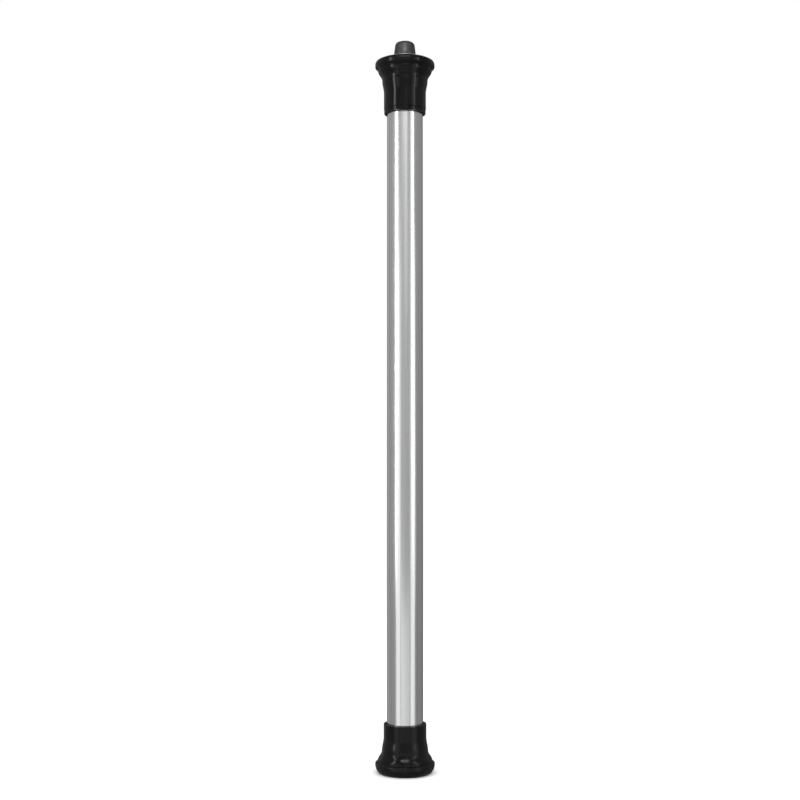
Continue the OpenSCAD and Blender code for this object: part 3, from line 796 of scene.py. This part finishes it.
def panel(name, azimuth, elevation, distance, size, radiance, aim_z=0.5):
    """A soft rectangular light that faces the pole's axis at the height aim_z, all in metres.

    Azimuth 0 is the camera's side and + is to its right, in degrees. The size is (width, height).
    """
    lamp = bpy.data.lights.new(name, "AREA")
    lamp.shape = "RECTANGLE"
    lamp.size, lamp.size_y = size
    lamp.energy = radiance * math.pi * size[0] * size[1]
    light = bpy.data.objects.new(name, lamp)
    a, e = math.radians(azimuth), math.radians(elevation)
    away = Vector((math.sin(a) * math.cos(e), -math.cos(a) * math.cos(e), math.sin(e)))
    light.location = Vector((0, 0, aim_z)) + away * distance
    light.rotation_euler = away.to_track_quat("Z", "Y").to_euler()
    light.visible_camera = False
    bpy.context.scene.collection.objects.link(light)


def mapped(tree, value, before, after):
    """The value, mapped smoothly from one range to another in a world's node tree."""
    ramp = tree.nodes.new("ShaderNodeMapRange")
    ramp.interpolation_type = "SMOOTHSTEP"
    ramp.inputs["From Min"].default_value, ramp.inputs["From Max"].default_value = before
    ramp.inputs["To Min"].default_value, ramp.inputs["To Max"].default_value = after
    tree.links.new(value, ramp.inputs["Value"])
    return ramp.outputs["Result"]


def product(tree, *values):
    """All the values multiplied together in a world's node tree."""
    total = values[0]
    for value in values[1:]:
        times = tree.nodes.new("ShaderNodeMath")
        times.operation = "MULTIPLY"
        tree.links.new(total, times.inputs[0])
        tree.links.new(value, times.inputs[1])
        total = times.outputs[0]
    return total


def studio_world():
    """Pale surroundings that light the floor evenly, and that polished parts see as a dim grey room."""
    world = bpy.data.worlds.new("studio")
    world.use_nodes = True
    tree = world.node_tree
    rays = tree.nodes.new("ShaderNodeLightPath")
    pale = tree.nodes["Background"]
    pale.inputs["Color"].default_value = (1, 1, 1, 1)
    sky = mapped(tree, rays.outputs["Is Camera Ray"], (0, 1), (SKY, SKY_SEEN))
    tree.links.new(sky, pale.inputs["Strength"])

    direction = tree.nodes.new("ShaderNodeSeparateXYZ")
    tree.links.new(tree.nodes.new("ShaderNodeTexCoord").outputs["Generated"], direction.inputs[0])
    left_to_right = mapped(tree, direction.outputs["X"], (-1, 1), (0.3, 0.24))
    brighter_in_front = mapped(tree, direction.outputs["Y"], (-0.9, -0.8), (1.5, 1))
    darker_behind = mapped(tree, direction.outputs["Y"], (0.62, 0.9), (1, 0.4))
    brighter_above = mapped(tree, direction.outputs["Z"], (-0.3, 0.3), (0.88, 1.12))
    room = tree.nodes.new("ShaderNodeBackground")
    room.inputs["Color"].default_value = (1, 1, 1, 1)
    strength = product(tree, left_to_right, brighter_in_front, darker_behind, brighter_above)
    tree.links.new(strength, room.inputs["Strength"])

    either = tree.nodes.new("ShaderNodeMixShader")
    tree.links.new(rays.outputs["Is Glossy Ray"], either.inputs[0])
    tree.links.new(pale.outputs[0], either.inputs[1])
    tree.links.new(room.outputs[0], either.inputs[2])
    tree.links.new(either.outputs[0], tree.nodes["World Output"].inputs["Surface"])
    bpy.context.scene.world = world


def camera():
    """Eye level a little under the pole's middle, tilted up to frame all of it."""
    lens = bpy.data.cameras.new("camera")
    lens.lens = 60.75
    lens.sensor_width = 36
    eye = bpy.data.objects.new("camera", lens)
    eye.location = (-0.0069, -1.875, 0.4358)
    eye.rotation_euler = (math.radians(92.333), 0, 0)
    bpy.context.scene.collection.objects.link(eye)
    bpy.context.scene.camera = eye


studio_floor()
studio_world()
# Tall strips on both sides: broad soft ones, narrow bright ones, and more of the tube lit low down
panel("strip_left", -55, 0, 1.7, (0.5, 1.9), 0.8, 0.95)
panel("strip_left_bright", -57, 0, 1.6, (0.18, 1.6), 6.5, 1.0)
panel("strip_left_low", -38, 0, 1.7, (0.46, 1.1), 0.7, 0.55)
panel("strip_right", 43.5, 0, 1.7, (0.51, 1.9), 0.7, 0.95)
panel("strip_right_bright", 52, 0, 1.6, (0.16, 1.6), 3.5, 1.0)
panel("strip_right_low", 60.5, 0, 1.7, (0.46, 1.1), 0.75, 0.55)
# Panels below the floor, which only reflections see, because the floor doesn't hide them there
panel("below_left", -45, 0, 1.7, (0.8, 0.9), 0.7, -0.45)
panel("below_right", 50, 0, 1.7, (0.9, 0.9), 0.75, -0.45)
# A faint fill high in front, and more below the floor
panel("front_high", 7, 0, 2.2, (0.55, 0.9), 0.28, 1.45)
panel("front_low", 2, 0, 1.5, (1.6, 1.0), 0.36, -0.52)
panel("front_low_left", -22, 0, 1.5, (0.4, 1.2), 0.15, -0.4)
# A lamp overhead that aims at the foot, and two panels behind the pole
panel("overhead", -2, 57, 2.1, (1.0, 0.3), 7.0, 0.03)
panel("top_back", 178, 50, 1.8, (0.9, 0.5), 2.5)
panel("edge_left", -142, 0, 1.8, (0.5, 2.0), 0.2)
camera()
bpy.context.scene.view_settings.view_transform = "Standard"
